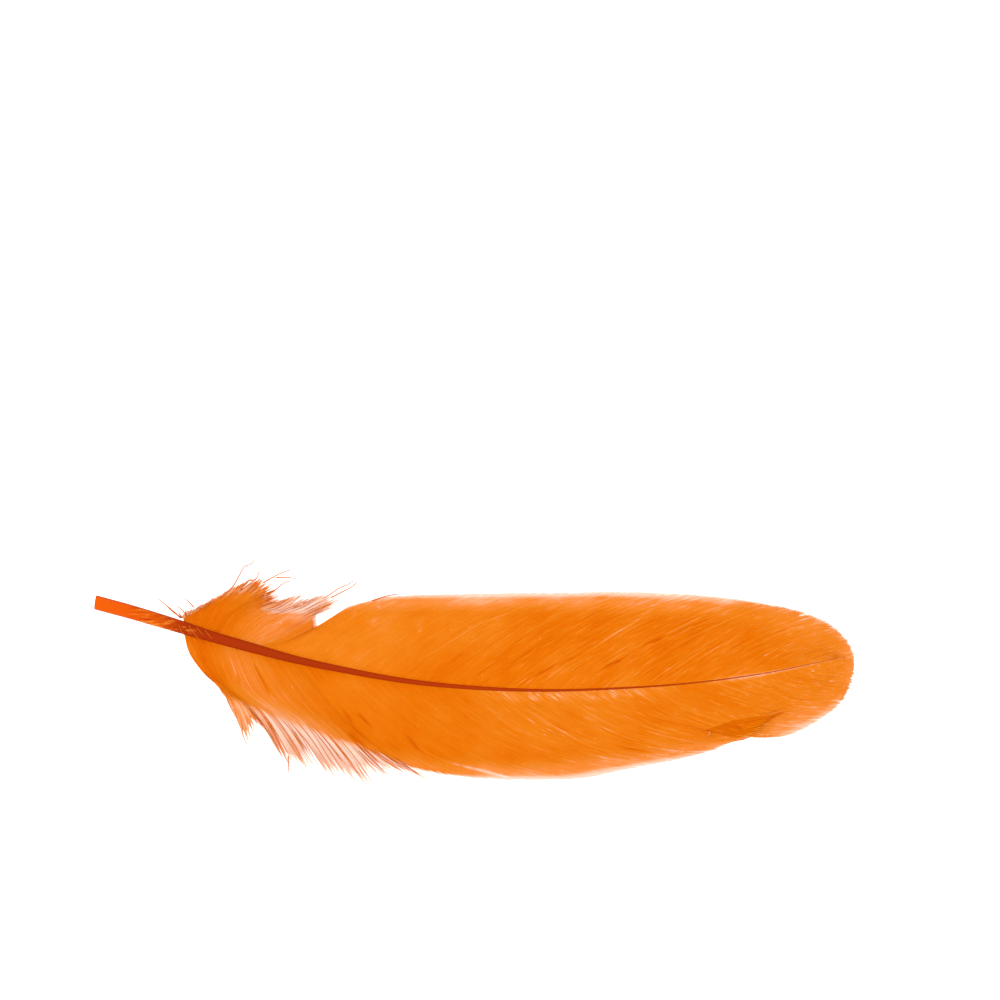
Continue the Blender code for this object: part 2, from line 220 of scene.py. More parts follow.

# Lines where barbs have parted or folded: from, to, how far they part, how much paler they
# are (where it is below 0, painted shade in the crease), how broad
MARKS = (
    ((29.9, 7.9), (39.6, 14.0), 0.03, 0.34, 0.13),
    ((43.6, 9.0), (54.7, 14.6), 0.03, 0.34, 0.13),
    ((50.4, 2.7), (65.2, 11.3), 0.0, 0.26, 0.13),
    ((51.2, 6.8), (54.0, 9.1), 0.0, 0.26, 0.13),
    ((34.9, 10.3), (45.5, 18.8), 0.0, 0.22, 0.13),
    ((76.6, 14.2), (79.8, 14.6), 0.05, 0.40, 0.16),
    ((57.5, -1.7), (65.2, -4.5), 0.0, 0.26, 0.14),
    ((47.7, -7.1), (58.0, -10.8), 0.0, 0.22, 0.14),
    ((40.4, -13.0), (51.7, -15.6), 0.0, 0.22, 0.14),
    ((29.0, -11.5), (33.0, -13.3), 0.0, 0.26, 0.14),
    ((11.4, -7.3), (24.8, -15.3), 0.0, 0.26, 0.14),
    ((6.8, -4.1), (9.4, -5.6), 0.0, 0.26, 0.14),
    ((-13.8, 3.5), (-8.4, 6.2), 0.0, 0.24, 0.14),
    ((-8.4, 6.2), (1.3, 12.4), 0.0, 0.24, 0.14),
    ((-2.0, 11.2), (8.9, 15.0), 0.0, 0.24, 0.14),
    ((-6.2, -20.3), (11.4, -25.0), 0.05, 0.40, 0.2),
    ((-12.8, 13.1), (-12.8, 9.6), 0.0, 0.36, 0.32),
    ((-28.6, 15.5), (-28.6, 12.9), 0.0, 0.22, 0.3),
    ((-23.8, 13.8), (-23.8, 11.7), 0.0, 0.22, 0.3),
    ((29.5, 1.6), (35.4, 4.4), 0.0, -0.22, 0.3),
    ((39.6, 7.0), (45.5, 9.8), 0.0, -0.15, 0.3),
    ((15.0, 0.7), (25.3, 5.2), 0.0, -0.20, 0.3),
    ((33.7, -16.6), (41.8, -18.2), 0.0, -0.16, 0.3),
    ((-30.5, -8.3), (-28.4, -11.8), 0.0, -0.20, 0.3),
    ((-27.6, -8.5), (-24.2, -11.7), 0.0, -0.24, 0.3),
    ((-15.4, -14.4), (-12.9, -17.8), 0.0, -0.24, 0.3),
    ((-29.8, -13.6), (-25.5, -17.0), 0.0, -0.22, 0.6),
    ((-51.9, 2.8), (-48.1, -4.6), 0.0, -0.26, 0.3),
    ((-55.7, 0.7), (-55.3, -2.4), 0.0, -0.20, 0.3),
)

# Where the quill's dried membranes begin to show, and from where they show in full, from
# either end
MEMBRANES = ((-83.0, -77.0), (-64.0, -69.0))
# Where along the quill the painted shade on its upper edge begins to show, and from where it shows in
# full
EDGE_SHADE_PLACES = (-66.0, -72.0)

# Shaft: how many rings it has, their corners, how much shallower than broad it becomes where the
# vane begins, its least half depth, the quill's wall, the depth of its hollow, counted in rings,
# and from which angle on its edges are sharp
SHAFT_RINGS = 150
RING_CORNERS = 24
SHAFT_FLATTER = 0.12
FLATTER_PLACES = (-70.0, -60.0)
LEAST_DEEP = 0.22
QUILL_WALL = 0.45
HOLLOW_RINGS = 6
SHARP_DEG = 50
# The shaft's slope is read over a millimetre, half of it on either side
EITHER_SIDE = 0.5

# Where along a barb its outline is drawn: closest at the foot and the tip, which are pointed
STEPS = np.concatenate([(0.0, 0.006), np.linspace(0.035, 0.97, 27), (0.99, 1.0)])
BARB_ROWS = len(STEPS)
# A barb's section, as shares of its half width: two thin wings and a low ridge. A hair's has
# three corners. Both run clockwise, so that the faces point outwards
BARB_SECTION = ((-1.0, 0.0), (0.0, 0.42), (1.0, 0.0), (0.0, -0.2))
HAIR_SECTION = tuple((math.cos(a), math.sin(a)) for a in (4.7, 2.6, 0.5))

# All barbs: where they reach the rim and how high that lies, how they come down to it, and how
# late their loose tips rise
RIM_START = 0.78
RIM_HEIGHT = 0.16
FALL_POWER = 1.5
LIFT_POWER = 4
# Half the width of a loose strand, half a barb's width beside its spacing, by which neighbours
# overlap, and the limits of spacing and slope
STRAND_HALF = 0.07
OVERLAP = 0.72
LEAST_GAP = 1e-3
STEEPEST = 1.2
# Marks: over which shares of a mark it sets in and fades, how strong the pale ones are beside
# the dark ones of painted crease shade, and how far on either side the barbs part
MARK_START = (-0.05, 0.15)
MARK_END = (0.8, 1.05)
PALE_MARK = 0.75
PARTED_REACH = 0.9
# Short spots on barbs: where they may lie, and the spread of their lengths and strengths
TICK_PLACES = (0.1, 1.0)
TICK_LENGTHS = (0.25, 1.0)
TICK_STRENGTHS = (0.3, 1.0)

# Hooked vanes. Their barbs' spacing, how far their bends reach, how the sheet is shingled, and
# the widest half barb
BARB_SPACING = 0.40
BEND_SHARE = 0.36
SHINGLE_DEG = 9.0
WIDEST_HALF = 0.6
NARROW_TIP = (0.95, 1.0)
NARROWER_TIP = 0.6
# How unevenly the barbs end: everywhere, more towards the feather's tip, less at the last
# barbs, and never longer than this
UNEVEN = 0.12
UNEVEN_FAR = 0.16
FAR_PLACES = (50, 80)
EVEN_LAST = 0.6
LAST_PLACES = (80, 85)
LONGEST_OVER = 0.15
# Up to where the end lobe's first barbs come down to the rim later, and by how much later
LATE_LOBE_END = 44.0
LATE_LOBE = 0.3
# Clumps: how many barbs they have, how far clumps and barbs stray, and how they draw together
CLUMP_SIZES = (5, 18)
CLUMP_SWAY = 0.14
BARB_SWAY = 0.025
CLUMP_PULL = 0.03
PULL_SHARES = (0.8, 1.0)
# Over what share of a barb its hooks end, and from what hooked share on they never do
UNHOOKING = 0.1
ALWAYS_HOOKED = 0.99
# The near lobe's last barbs turn up over the end lobe. Over which places on the shaft that
# sets in, how steeply they turn, how far they step aside and rise, and over what lengths
TURNED_PLACES = (22.0, 28.5)
TURN_SLOPE = 0.36
TURN_ASIDE = 1.4
TURN_ASIDE_LENGTH = 5.0
TURN_RISE = 0.9
TURN_RISE_LENGTH = 4.0
# How the paleness goes from inside to rim: a share of the way, over shares of the barb
RIM_SHADES = ((0.45, (0.62, 0.86)), (0.55, (0.86, 1.0)))
# Where the vane is paler or darker: by how much, over which shares of the barbs and over which
# places along the shaft that sets in. The pale rim of the quill half, the denser dye along the
# shaft, and the pale feet of the barbs near the tip
VANE_SHADES = (
    (0.2, (0.91, 0.96), (15, -5)),
    (-0.1, (0.12, 0.0), (20, -50)),
    (0.4, (0.06, 0.0), (48, 62)),
)
PALER_UNHOOKED = 0.08
# Streaks and short spots grow stronger between these places. Spots: chance, length, strength,
# and how much stronger they get
STREAKY_PLACES = (-25, 5)
STREAKY_LEAST = 0.15
VANE_PALE_TICKS = (0.6, 0.10, 0.05, 0.15)
VANE_DARK_TICKS = (0.3, 0.06, 0.04, 0.12)
# The pale speckle beside the shaft, on the lower side: its strength, between which places it
# sets in and fades, and over which shares of the barbs it fades
SPECKLE = 0.16
SPECKLE_START = (-8, 8)
SPECKLE_END = (36, 48)
SPECKLE_SHARES = (0.06, 0.14)
# How much the dye's tone varies between clumps and between barbs
CLUMP_TONE = 2.2
BARB_TONE = 0.9

# Down. Barbs to a tuft on either side; a tuft parts where its hooked share is under this, and
# this share of its barbs are then thin strands, while the others stay pale films
UPPER_PER_TUFT = 8
LOWER_PER_TUFT = 10
PARTS_UNDER = 0.9
STRAND_SHARE = 0.28
# How much shorter than drawn strands and films may be, and how their tips stray
STRAND_CUT = 0.15
FILM_CUTS = (0.02, 0.24)
TIP_STRAY = 0.4
TIP_STRAY_LIMITS = (-0.8, 0.3)
FILM_STRAY = 0.25
# How high strands and films stand off the sheet, and the least height of down over the table
STRAND_FLUFF = (0.3, 0.9)
FILM_FLUFF = 0.2
LEAST_HEIGHT = 0.12
# On the upper side, the closed tufts beside the vane come down to the rim later: by how much,
# and over which hooked shares. No barb of down is hooked further than the last of these
LATE_TUFT = 0.6
LATE_TUFT_SHARES = (0.66, 0.98)
MOST_HOOKED = 0.98
# How far strands and films draw towards their tuft's middle barb, how long before the end of
# the hooks they loosen, and how strands wave: the waves' angles from foot to tip and at the
# foot, in radians, their breadth, and how far aside the strands stray. Films move by a share
# of that. Last, over what share of a barb the hooks end
STRAND_PULLS = (0.05, 0.5)
FILM_PULL = 0.05
LOOSE_BEFORE = 0.05
WAVE_ANGLES = (5, 14)
WAVE_STARTS = (0, 6.3)
WAVE_BREADTHS = (0.05, 0.3)
STRAND_ASIDE = 0.3
FILM_WAVE = 0.15
DOWN_UNHOOKING = 0.12
# Limits for half the width of hooked down and of films, a film's half width beside its spacing,
# and how films, and then all barbs of down, narrow towards their tips
DOWN_HALF = (0.09, 0.4)
FILM_OVERLAP = 1.5
FILM_HALF = (0.15, 0.6)
NARROWER_FILM = 0.7
FILM_TIP = (0.8, 1.0)
NARROWER_DOWN = 0.6
DOWN_TIP = (0.85, 1.0)
# Paleness of down: denser at the foot, paler before the hooks end, strands dark and paler
# outwards, films a little paler than their tuft, and how much single barbs vary
DOWN_FOOT_DENSER = 0.08
DOWN_FOOT = (0.0, 0.15)
PALER_BEFORE_END = 0.1
BEFORE_END = 0.2
STRAND_PALE = 0.24
STRAND_PALER = 0.28
FILM_PALER = 0.06
DOWN_VARIES = 0.05
DOWN_PALE_TICKS = (0.4, 0.1, 0.14)
DOWN_DARK_TICKS = (0.4, 0.1, 0.12)
DOWN_TONE = 2.4
DOWN_STREAKY = 0.3

# Hairs: half thickness, how far past the hooks they begin, up to which share of the barb,
# their angle to it and its spread, their rise, their lengths, how these fall towards the barb's
# tip, where a hair is thickest, and its least height
HAIR_HALF = 0.020
PAST_HOOKS = 0.04
HAIRS_UP_TO = 0.95
HAIR_ANGLE_DEG = 36
HAIR_ANGLE_SPREAD = 12
HAIR_RISE = 0.15
HAIR_LENGTHS = (0.5, 1.2)
HAIR_TAPER_FROM = 1.15
HAIR_THICKEST = 0.2
HAIR_LEAST_HEIGHT = 0.06
# Barbs that stay hooked past this share grow no hairs, and hairs are this much paler than the
# loose part of their barb
BARE_PAST = 0.85
HAIR_PALER = 0.22
# Length of the hairs, and how many grow on each barb
DOWN_HAIR = 1.1
UPPER_HAIRS = 14
LOWER_HAIRS = 18
WISP_HAIR = 0.6
WISP_HAIRS = 24

# Wisps: rows, height of the foot as a share of the tip's, half thickness and how it tapers,
# paleness, from where they have hairs, and the loose part's paleness that these go by. The
# crossing barbs are thinner and paler
WISP_ROWS = 16
WISP_FOOT = 0.6
WISP_HALF = 0.2
WISP_TAPER = 0.4
WISP_PALE = 0.3
WISP_HAIRS_FROM = 0.05
WISP_HAIR_PALE = 0.6
CROSSING_HALF = 0.07
CROSSING_PALE = 0.42

# Dye colours, from the thickest coat to the nearly undyed down
DYE_STOPS = (
    (0.0, (0.52, 0.062, 0.0002)),
    (0.15, (0.68, 0.120, 0.0003)),
    (0.3, (0.78, 0.182, 0.0005)),
    (0.45, (0.81, 0.240, 0.010)),
    (0.6, (0.86, 0.290, 0.050)),
    (0.75, (0.93, 0.49, 0.27)),
    (1.0, (0.97, 0.71, 0.58)),
)
# Painted shade where both lobes lie over each other: how much darker it paints the colour, and how soft
# its edge is
LAPPED_SHADE = -0.17
LAPPED_EDGE = (-0.1 * MM, 0.15 * MM)
TONE_STRENGTH = 0.018
# Streaks along the barbs: how fast they change from barb to barb and along a barb
STREAK_REPEATS = (1.1, 6.0)
LINE_REPEATS = (3.1, 9.0)
MOTTLE_SCALE = 90.0
MOTTLE_STRENGTH = 0.3
SPECK_SCALE = 1400.0
SPECK_STRENGTH = 1.2
# Above which value the fine lines and the specks show, and last the barbs' shine and their fine
# relief: how fine, how strong and how deep
LINES_OVER = 0.58
SPECKS_OVER = 0.68
BARB_SHINE = 0.02
BARB_GRAIN_SCALE = 5000.0
BARB_GRAIN = (0.25, 0.03 * MM)

# Colours along the shaft, from the cut quill to the tip, and the ends of that scale
SHAFT_STOPS = (
    (0.0, (0.60, 0.078, 0.0003)),
    (0.05, (0.57, 0.073, 0.0003)),
    (0.085, (0.50, 0.066, 0.0003)),
    (0.12, (0.30, 0.023, 0.0002)),
    (0.3, (0.29, 0.022, 0.0002)),
    (0.45, (0.32, 0.026, 0.0002)),
    (0.76, (0.33, 0.034, 0.0003)),
    (1.0, (0.50, 0.09, 0.008)),
)
SHAFT_SCALE_ENDS = (-90 * MM, 90 * MM)
# The membranes' folds: their lean and stretch, the values between which light and dark ones
# show, how strong they are, and their colours
FOLD_LEAN_DEG = -24
FOLD_STRETCH = (230.0, 1500.0, 300.0)
LIGHT_FOLDS = ((0.52, 0.66), 0.75, (0.66, 0.21, 0.02))
DARK_FOLDS = ((0.48, 0.34), 0.7, (0.26, 0.020, 0.0002))
# Painted shade along the quill's upper edge: between which shares of the half width, how strong, and
# its colour
EDGE_SHADE_ACROSS = (0.72, 0.95)
EDGE_SHADE_STRENGTH = 0.6
EDGE_SHADE_COLOUR = (0.25, 0.02, 0.0002)
# The shaft's finish, and its fine relief: how it is stretched, how strong and how deep it is
SHAFT_ROUGHNESS = 0.5
SHAFT_SHINE = 0.03
SHAFT_GRAIN_STRETCH = (60.0, 1600.0, 1600.0)
SHAFT_GRAIN = (0.4, 0.05 * MM)


def smooth_between(start, end, leaving, arriving, t):
    """A smooth curve from start to end, by how it leaves and how it arrives."""
    return (
        start * (2 * t**3 - 3 * t**2 + 1)
        + leaving * (t**3 - 2 * t**2 + t)
        + end * (3 * t**2 - 2 * t**3)
        + arriving * (t**3 - t**2)
    )


def smooth_columns(rows, places):
    """Reads all columns of rows at many places along the feather, on a smooth line."""
    table = np.array(rows, float)
    x, y = table[:, 0], table[:, 1:]
    slope = np.gradient(y, x, axis=0)
    k = np.clip(np.searchsorted(x, places, side="right") - 1, 0, len(x) - 2)
    step = (x[k + 1] - x[k])[:, None]
    t = (places - x[k])[:, None] / step
    return smooth_between(y[k], y[k + 1], slope[k] * step, slope[k + 1] * step, t)


def straight_columns(rows, places):
    """Reads all columns of rows at many places, on straight lines between the rows."""
    table = np.array(rows, float)
    return np.stack([np.interp(places, table[:, 0], c) for c in table[:, 1:].T], axis=1)


def shaft_at(places):
    """The shaft's middle line, the way across it, and its half width, at many places."""
    places = np.asarray(places, float)
    across, height, half = smooth_columns(SHAFT, places).T
    ahead = smooth_columns(SHAFT, np.minimum(places + EITHER_SIDE, SHAFT_END))[:, 0]
    behind = smooth_columns(SHAFT, np.maximum(places - EITHER_SIDE, SHAFT_START))[:, 0]
    slope = ahead - behind
    side = np.stack([-slope, np.ones_like(slope), np.zeros_like(slope)], axis=1)
    side /= np.linalg.norm(side, axis=1, keepdims=True)
    return np.stack([places, across, height], axis=1), side, half


def turned(angles_deg):
    """Level directions of length 1 at many angles."""
    angles = np.radians(angles_deg)
    return np.stack([np.cos(angles), np.sin(angles)], axis=1)


def ease(low, high, value):
    """A soft step: 0 at low and before it, 1 at high and past it, also where high is the smaller."""
    t = np.clip((value - low) / (high - low), 0, 1)
    return t * t * (3 - 2 * t)


def raise_lines(plan, roots, lift, later):
    """Gives barbs their height: down from the shaft to the rim, and up again where they are loose."""
    middle, _, _ = shaft_at(roots)
    t = STEPS[None, :]
    fall = np.maximum(1 - (t / (RIM_START * later)) ** 2, 0) ** FALL_POWER
    height = middle[:, 2:] * fall + lift[:, None] * t**LIFT_POWER + RIM_HEIGHT * (1 - fall)
    return np.concatenate([plan, height[:, :, None]], axis=2)


def bent_lines(columns, roots, later):
    """The middle lines of hooked barbs, which leave and arrive at given angles."""
    leave, tip_x, tip_y, arrive, lift = columns[:, :5].T
    foot = shaft_at(roots)[0][:, :2]
    end = np.stack([tip_x, tip_y], axis=1)
    reach = np.linalg.norm(end - foot, axis=1, keepdims=True) * BEND_SHARE
    a, b = foot + turned(leave) * reach, end - turned(arrive) * reach
    t = STEPS[None, :, None]
    plan = (
        foot[:, None] * (1 - t) ** 3
        + a[:, None] * 3 * t * (1 - t) ** 2
        + b[:, None] * 3 * t**2 * (1 - t)
        + end[:, None] * t**3
    )
    return raise_lines(plan, roots, lift, later)


def turn_up(lines, roots):
    """Turns the near lobe's last barbs up over the end lobe, past the place where the lobes part."""
    past = np.maximum(lines[:, :, 0] - PARTING, 0)
    turning = ease(*TURNED_PLACES, roots)[:, None]
    aside = TURN_SLOPE * past + TURN_ASIDE * ease(0.0, TURN_ASIDE_LENGTH, past)
    lines[:, :, 1] += turning * aside
    lines[:, :, 2] += turning * TURN_RISE * ease(0.0, TURN_RISE_LENGTH, past)


def threaded(points, steps):
    """Smooth lines through the same number of points each, read at shares of their length."""
    step = np.diff(points, axis=1)
    length = np.linalg.norm(step, axis=2, keepdims=True) + TINY
    speed = step / length
    before, after = length[:, :-1], length[:, 1:]
    inner = (speed[:, :-1] * after + speed[:, 1:] * before) / (before + after)
    slope = np.concatenate([speed[:, :1], inner, speed[:, -1:]], axis=1)
    knots = np.concatenate([np.zeros((len(points), 1)), np.cumsum(length[:, :, 0], axis=1)], axis=1)
    places = steps[None, :] * knots[:, -1:]
    k = np.sum(places[:, :, None] >= knots[:, None, 1:-1], axis=2)
    barb = np.arange(len(points))[:, None]
    span = length[barb, k]
    t = (places[:, :, None] - knots[barb, k][:, :, None]) / span
    start, end = points[barb, k], points[barb, k + 1]
    return smooth_between(start, end, slope[barb, k] * span, slope[barb, k + 1] * span, t)


def line_length(lines):
    """How long each line is."""
    return np.sum(np.linalg.norm(np.diff(lines, axis=1), axis=2), axis=1, keepdims=True)


def left_of(lines):
    """The level direction to the left of each barb, seen along it."""
    along = np.gradient(lines, axis=1)[:, :, :2]
    along /= np.linalg.norm(along, axis=2, keepdims=True) + TINY
    return np.stack([-along[:, :, 1], along[:, :, 0]], axis=2)


def spacing_across(lines):
    """How far apart neighbouring barbs lie, and how steeply the sheet rises across them."""
    to_next = np.gradient(lines, axis=0)
    forward = np.gradient(lines, axis=1)
    length = np.linalg.norm(forward[:, :, :2], axis=2) + TINY
    across = np.sum(to_next[:, :, :2] * left_of(lines), axis=2)
    along = np.sum(to_next[:, :, :2] * forward[:, :, :2], axis=2) / length
    rise = to_next[:, :, 2] - along * forward[:, :, 2] / length
    gap = np.abs(across)
    slope = rise / np.where(gap < LEAST_GAP, LEAST_GAP, across)
    return gap, np.clip(slope, -STEEPEST, STEEPEST)


def push_across(lines, shift):
    """Moves barbs sideways in the vane by a shift for each barb and row."""
    lines[:, :, :2] += left_of(lines) * np.broadcast_to(shift, lines.shape[:2])[:, :, None]


def clump_ids(rng, count, smallest, largest):
    """A number for each barb, the same for all the barbs of one clump."""
    sizes = rng.integers(smallest, largest + 1, count)
    return np.repeat(np.arange(count), sizes)[:count]


def clump_centres(ids, values):
    """Each clump's mean of the values, handed back to all of its barbs."""
    total = np.zeros((ids[-1] + 1,) + values.shape[1:])
    np.add.at(total, ids, values)
    size = np.bincount(ids).reshape((-1,) + (1,) * (values.ndim - 1))
    return (total / size)[ids]


def make_section(name, points):
    """The outline that a barb's curve is drawn with."""
    curve = bpy.data.curves.new(name, "CURVE")
    spline = curve.splines.new("POLY")
    spline.points.add(len(points) - 1)
    for point, (x, y) in zip(spline.points, points):
        point.co = (x, y, 0, 1)
    spline.use_cyclic_u = True
    section = bpy.data.objects.new(name, curve)
    bpy.context.scene.collection.objects.link(section)
    return section


def lay_tubes(name, lines, half_widths, tilts, points, material, values):
    """One closed tube for each line, pointed at both ends, all in one mesh with the given values."""
    section = make_section(name + "_section", points)
    curve = bpy.data.curves.new(name, "CURVE")
    curve.dimensions = "3D"
    curve.twist_mode = "Z_UP"
    curve.bevel_mode = "OBJECT"
    curve.bevel_object = section
    count, rows, _ = lines.shape
    places = np.concatenate([lines * MM, np.ones((count, rows, 1))], axis=2).astype(np.float32)
    widths = (np.broadcast_to(half_widths, (count, rows)) * MM).astype(np.float32)
    widths[:, [0, -1]] = 0.0
    tilts = np.broadcast_to(tilts, (count, rows)).astype(np.float32)
    for place, width, tilt in zip(places, widths, tilts):
        spline = curve.splines.new("POLY")
        spline.points.add(rows - 1)
        spline.points.foreach_set("co", place.ravel())
        spline.points.foreach_set("radius", width)
        spline.points.foreach_set("tilt", np.ascontiguousarray(tilt))
    drawn = bpy.data.objects.new(name + "_curve", curve)
    bpy.context.scene.collection.objects.link(drawn)
    mesh = bpy.data.meshes.new_from_object(drawn.evaluated_get(bpy.context.evaluated_depsgraph_get()))
    for thing in (drawn, section):
        data = thing.data
        bpy.data.objects.remove(thing)
        bpy.data.curves.remove(data)
    mesh.name = name
    for key, value in values.items():
        layer = mesh.attributes.new(key, "FLOAT", "POINT")
        spread = np.broadcast_to(value, (count, rows))
        layer.data.foreach_set("value", np.repeat(spread.ravel(), len(points)).astype(np.float32))
    shape = bmesh.new()
    shape.from_mesh(mesh)
    ends = [v for v in shape.verts if v.is_boundary]
    bmesh.ops.remove_doubles(shape, verts=ends, dist=SAME_POINT)
    shape.to_mesh(mesh)
    shape.free()
    place_piece(name, mesh, material)


def place_piece(name, mesh, material):
    """Puts a finished mesh in the scene as a piece of the feather."""
    mesh.materials.clear()
    mesh.materials.append(material)
    piece = bpy.data.objects.new(name, mesh)
    bpy.context.scene.collection.objects.link(piece)
    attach(piece, BODY)
    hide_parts(NODE)


def part_at_marks(lines):
    """Parts barbs along the marked lines, and says how much paler each spot becomes, or how much darker
    where a crease's shade is painted.
    """
    pale = np.zeros(lines.shape[:2])
    shift = np.zeros(lines.shape[:2])
    for start, end, parting, paler, breadth in MARKS:
        start, way = np.array(start), np.array(end) - np.array(start)
        length = np.linalg.norm(way)
        way /= length
        offset = lines[:, :, :2] - start
        along = (offset @ way) / length
        aside = offset @ np.array([-way[1], way[0]])
        inside = ease(*MARK_START, along) * (1 - ease(*MARK_END, along))
        strength = paler * (PALE_MARK if paler > 0 else 1.0)
        # Where paler is below 0, this is painted shade in a crease
        pale += strength * inside * np.exp(-((aside / breadth) ** 2))
        shift += parting * inside * np.sign(aside) * np.exp(-((aside / PARTED_REACH) ** 2))
    push_across(lines, shift)
    return pale


def ticks(rng, count, t, chance, longest, strongest):
    """A short spot at a random place on some of the barbs."""
    has = rng.uniform(size=(count, 1)) < chance
    middle = rng.uniform(*TICK_PLACES, (count, 1))
    length = rng.uniform(*TICK_LENGTHS, (count, 1)) * longest
    strength = rng.uniform(*TICK_STRENGTHS, (count, 1)) * strongest * has
    return strength * np.exp(-(((t - middle) / length) ** 2))


def vane_paleness(columns, roots, t, hooked, marks_and_crease_shade, side, rng):
    """How pale each spot of a hooked vane is, from the dense dye inside to the pale rim."""
    count = len(roots)
    body, rim = columns[:, 6:7], columns[:, 7:8]
    streaky = ease(*STREAKY_PLACES, roots)[:, None]
    pale = body + (rim - body) * sum(share * ease(*shares, t) for share, shares in RIM_SHADES)
    for paler, shares, places in VANE_SHADES:
        pale = pale + paler * ease(*shares, t) * ease(*places, roots)[:, None]
    pale = pale + PALER_UNHOOKED * (1 - hooked) + marks_and_crease_shade
    chance, longest, strength, stronger = VANE_PALE_TICKS
    pale = pale + ticks(rng, count, t, chance, longest, strength + stronger * streaky)
    chance, longest, strength, stronger = VANE_DARK_TICKS
    pale = pale - ticks(rng, count, t, chance, longest, strength + stronger * streaky)
    if side < 0:
        speckle = np.abs(rng.normal(0, SPECKLE, (count, BARB_ROWS)))
        speckled = ease(*SPECKLE_START, roots) * (1 - ease(*SPECKLE_END, roots))
        pale = pale + speckle * speckled[:, None] * (1 - ease(*SPECKLE_SHARES, t))
    return pale, STREAKY_LEAST + streaky


def make_vane(name, guides, span, side, rng, material):
    """Hooked barbs side by side, in clumps that part a little towards the rim."""
    roots = np.linspace(*span, round((span[1] - span[0]) / BARB_SPACING) + 1)
    count = len(roots)
    columns = smooth_columns(guides, roots)
    uneven = UNEVEN + UNEVEN_FAR * ease(*FAR_PLACES, roots)
    uneven = uneven * (1 - EVEN_LAST * ease(*LAST_PLACES, roots))
    longer = np.minimum(rng.normal(0, 1, count) * uneven, LONGEST_OVER)
    columns[:, 1:3] += turned(columns[:, 3]) * longer[:, None]
    first_of_lobe = (1 - ease(LOBE_START, LATE_LOBE_END, roots)) * (span[0] == LOBE_START)
    lines = bent_lines(columns, roots, 1 + LATE_LOBE * first_of_lobe[:, None])
    if side < 0 and span[1] == LOBE_START:
        turn_up(lines, roots)
    t = np.broadcast_to(STEPS, (count, BARB_ROWS))
    ids = clump_ids(rng, count, *CLUMP_SIZES)
    sway = clump_centres(ids, rng.normal(0, CLUMP_SWAY, count)) + rng.normal(0, BARB_SWAY, count)
    pull = clump_centres(ids, lines) - lines
    lines[:, :, :2] += pull[:, :, :2] * (CLUMP_PULL * ease(*PULL_SHARES, t))[:, :, None]
    push_across(lines, sway[:, None] * t**3)
    gap, slope = spacing_across(lines)
    # Pale marks, and painted shade in creases
    marks_and_crease_shade = part_at_marks(lines)
    opened = columns[:, 5:6]
    hooked = 1 - ease(opened, opened + UNHOOKING, t) * (opened < ALWAYS_HOOKED)
    gap = gap * np.sqrt(1 + slope**2)
    half = np.clip(OVERLAP * gap * hooked, STRAND_HALF, WIDEST_HALF)
    half = half * (1 - NARROWER_TIP * ease(*NARROW_TIP, t))
    tilts = np.arctan(slope) + side * math.radians(SHINGLE_DEG)
    pale, streaky = vane_paleness(columns, roots, t, hooked, marks_and_crease_shade, side, rng)
    tone = clump_centres(ids, rng.normal(0, CLUMP_TONE, count)) + rng.normal(0, BARB_TONE, count)
    values = {"root": roots[:, None], "out": t, "tone": tone[:, None], "pale": pale, "streaky": streaky}
    lay_tubes(name, lines, half, tilts, BARB_SECTION, material, values)


def tuft_lines(foot, places):
    """Smooth level lines from the shaft through the drawn points."""
    return threaded(np.concatenate([foot[:, None, :2], places], axis=1), STEPS)


def down_lines(tufts, columns, roots, side, rng):
    """The middle lines of down, which parts into loose wavy strands and films past its hooks."""
    table = np.array(tufts)
    count = len(roots)
    foot = shaft_at(roots)[0]
    places = columns[:, :6].reshape(count, 3, 2)
    lift, opened = columns[:, 6], columns[:, 7:8]
    parts = opened < PARTS_UNDER
    whole = tuft_lines(foot, places)
    strand = (rng.uniform(size=(count, 1)) < STRAND_SHARE) & parts
    strand_cut = STRAND_CUT * rng.uniform(0, 1, (count, 1)) ** 2
    film_cut = rng.uniform(*FILM_CUTS, (count, 1))
    shorter = np.where(strand, strand_cut, film_cut)
    places[:, 2] = places[:, 1] + (places[:, 2] - places[:, 1]) * (1 - shorter * parts)
    stray = np.clip(rng.normal(0, TIP_STRAY, (count, 2)), *TIP_STRAY_LIMITS)
    places[:, 2] += stray * np.where(strand, 1.0, FILM_STRAY) * parts
    fluff = np.where(strand, rng.uniform(*STRAND_FLUFF, (count, 1)), FILM_FLUFF) * parts
    plan = tuft_lines(foot, places)
    later = 1 + LATE_TUFT * ease(*LATE_TUFT_SHARES, opened) * (side > 0)
    shortened = line_length(whole) / line_length(plan)
    gap, slope = spacing_across(raise_lines(whole, roots, lift, later))
    lines = raise_lines(plan, roots, lift, later * shortened)
    opened = np.minimum(opened * shortened, MOST_HOOKED)
    t = np.broadcast_to(STEPS, (count, BARB_ROWS))
    guides = tuft_lines(shaft_at(table[:, 0])[0], table[:, 1:7].reshape(-1, 3, 2))
    nearest = np.argmin(np.abs(roots[:, None] - table[None, :, 0]), axis=1)
    pull = guides[nearest] - lines[:, :, :2]
    pulled = np.where(strand, rng.uniform(*STRAND_PULLS, (count, 1)), FILM_PULL)
    lines[:, :, :2] += pull * (pulled * ease(opened, 1.0, t))[:, :, None]
    loose = ease(opened - LOOSE_BEFORE, 1.0, t)
    angle = rng.uniform(*WAVE_ANGLES, (count, 1))
    wave = np.sin(t * angle + rng.uniform(*WAVE_STARTS, (count, 1)))
    breadth = rng.uniform(*WAVE_BREADTHS, (count, 1))
    waving = wave * breadth + rng.normal(0, STRAND_ASIDE, (count, 1))
    push_across(lines, waving * loose * np.where(strand, 1.0, FILM_WAVE))
    lines[:, :, 2] = np.maximum(lines[:, :, 2] + fluff * loose, LEAST_HEIGHT)
    return lines, gap, slope, opened, strand


